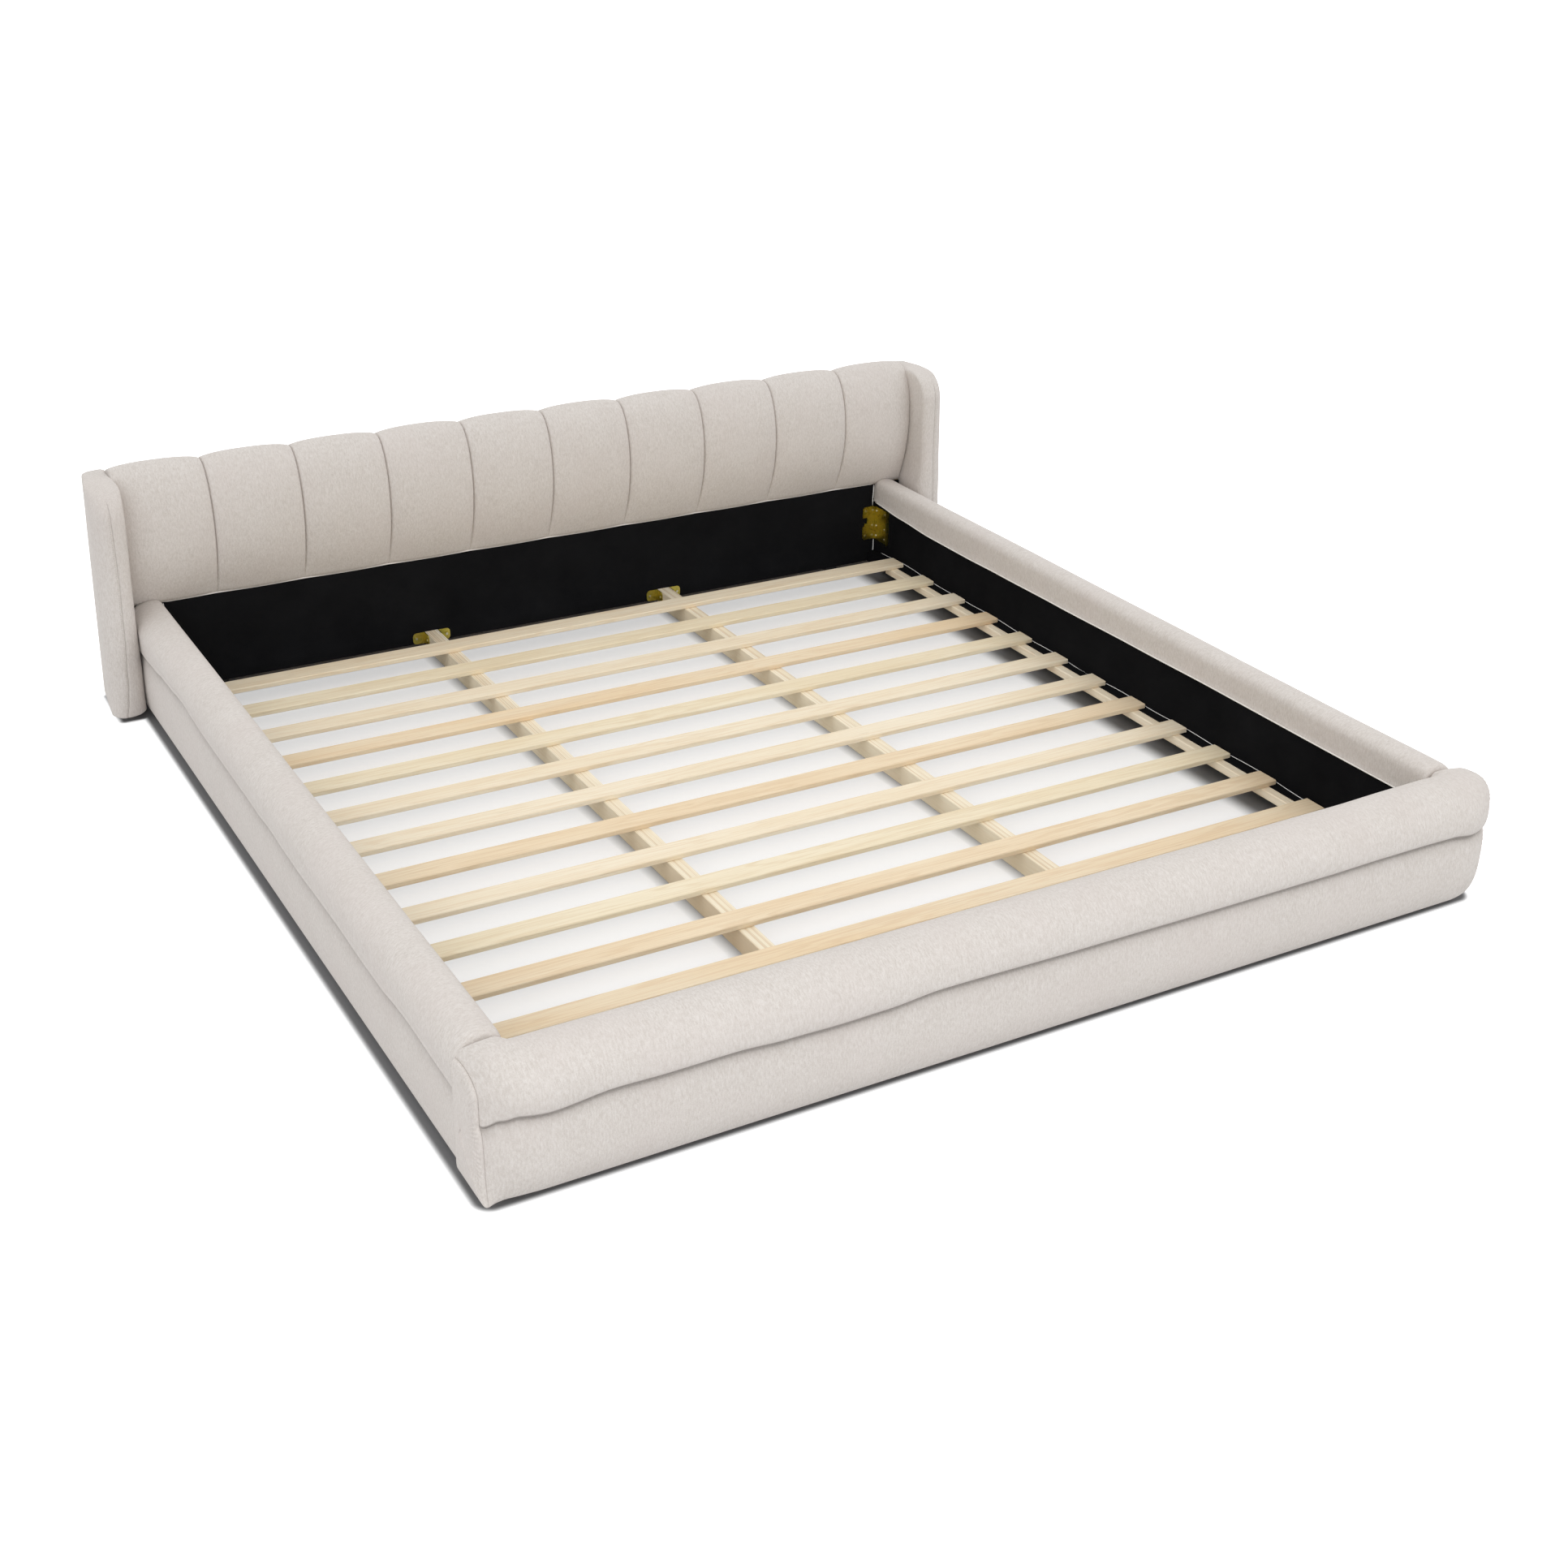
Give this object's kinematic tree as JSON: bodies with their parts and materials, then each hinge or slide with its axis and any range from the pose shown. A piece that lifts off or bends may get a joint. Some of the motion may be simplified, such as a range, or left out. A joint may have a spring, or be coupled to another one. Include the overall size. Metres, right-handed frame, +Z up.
{
  "type": "upholstered bed frame",
  "caption": "Low upholstered king bed frame with a channel-tufted winged headboard, padded roll side rails and footboard, pine slats on laminated centre beams, and hook-bracket corners.",
  "frame": {"origin": "centre of the footprint on the floor", "axes": "+Z up; +Y from the footboard to the headboard, along the sleeper; +X to the right seen from the footboard"},
  "size_m": [2.2786, 2.29, 0.578],
  "materials": {
    "woven_fabric": "warm greige slub weave, matte",
    "black_lining": "black dust-cover cloth, matte",
    "pine": "bare planed pine",
    "board": "raw board, covered by the upholstery",
    "laminated_wood": "bare laminated veneer lumber, ply edges up",
    "yellow_zinc": "yellow-passivated zinc plate on sheet steel",
    "black_plastic": "moulded black plastic"
  },
  "bodies": {
    "root": {"beam_bracket_foot_left_inner": "yellow_zinc", "beam_bracket_foot_left_outer": "yellow_zinc", "beam_bracket_foot_right_inner": "yellow_zinc", "beam_bracket_foot_right_outer": "yellow_zinc", "beam_bracket_head_left_inner": "yellow_zinc", "beam_bracket_head_left_outer": "yellow_zinc", "beam_bracket_head_right_inner": "yellow_zinc", "beam_bracket_head_right_outer": "yellow_zinc", "centre_beam_left": "laminated_wood", "centre_beam_right": "laminated_wood", "corner_plate_foot_left": "yellow_zinc", "corner_plate_foot_right": "yellow_zinc", "corner_plate_head_left": "yellow_zinc", "corner_plate_head_right": "yellow_zinc", "footboard_board": "board", "footboard_end_panel_left": "woven_fabric", "footboard_end_panel_right": "woven_fabric", "footboard_lining": "black_lining", "footboard_lower_roll": "woven_fabric", "footboard_upper_roll": "woven_fabric", "glide_foot_left": "black_plastic", "glide_foot_right": "black_plastic", "glide_head_left": "black_plastic", "glide_head_right": "black_plastic", "headboard_back_cover": "woven_fabric", "headboard_core": "board", "headboard_cushion": "woven_fabric", "headboard_lining": "black_lining", "headboard_wing_left": "woven_fabric", "headboard_wing_right": "woven_fabric", "ledger_strip_left": "pine", "ledger_strip_right": "pine", "rail_board_left": "board", "rail_board_right": "board", "rail_lining_left": "black_lining", "rail_lining_right": "black_lining", "rail_lower_roll_left": "woven_fabric", "rail_lower_roll_right": "woven_fabric", "rail_plate_foot_left": "yellow_zinc", "rail_plate_foot_right": "yellow_zinc", "rail_plate_head_left": "yellow_zinc", "rail_plate_head_right": "yellow_zinc", "rail_upper_roll_left": "woven_fabric", "rail_upper_roll_right": "woven_fabric", "slat_01": "pine", "slat_02": "pine", "slat_03": "pine", "slat_04": "pine", "slat_05": "pine", "slat_06": "pine", "slat_07": "pine", "slat_08": "pine", "slat_09": "pine", "slat_10": "pine", "slat_11": "pine", "slat_12": "pine", "slat_13": "pine", "slat_cleat_left": "black_lining", "slat_cleat_right": "black_lining"}
  },
  "joints": []
}
